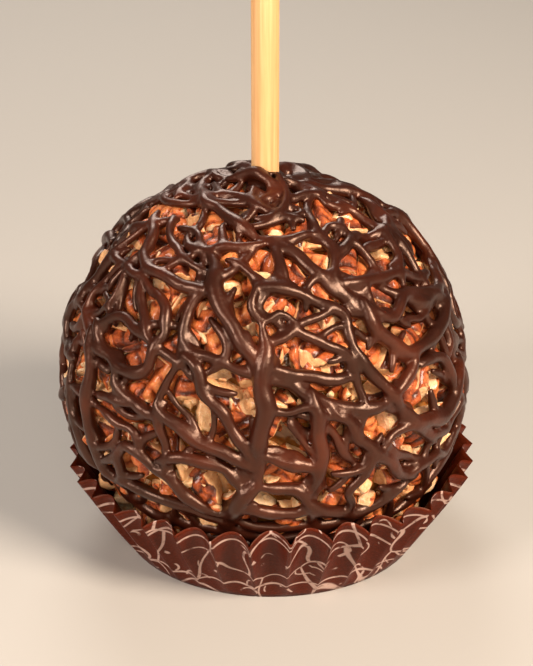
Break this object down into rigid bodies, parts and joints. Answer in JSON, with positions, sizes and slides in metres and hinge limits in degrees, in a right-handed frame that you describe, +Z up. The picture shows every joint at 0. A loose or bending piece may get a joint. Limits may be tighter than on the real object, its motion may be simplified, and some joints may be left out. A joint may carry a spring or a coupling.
{
  "type": "caramel apple",
  "caption": "Caramel apple rolled in chopped pecans, netted with poured dark chocolate, on a round wooden stick and standing in a pleated brown paper case.",
  "frame": {"origin": "middle of the paper case's flat base, on the surface it stands on", "axes": "+Z up along the stick, -Y towards the side that the chocolate is poured most heavily on, +X to the right seen from there"},
  "size_m": [0.1004, 0.1, 0.1772],
  "materials": {
    "nut_coat": "chopped pecans stuck in glossy caramel",
    "dark_chocolate": "smooth satin dark chocolate",
    "birch": "plain sanded birch",
    "brown_paper": "thin greaseproof paper with a faint sheen and a printed net of thin pale lines"
  },
  "bodies": {
    "root": {"coated_apple": "nut_coat", "chocolate_drizzle": "dark_chocolate", "stick": "birch", "paper_case": "brown_paper"}
  },
  "joints": []
}
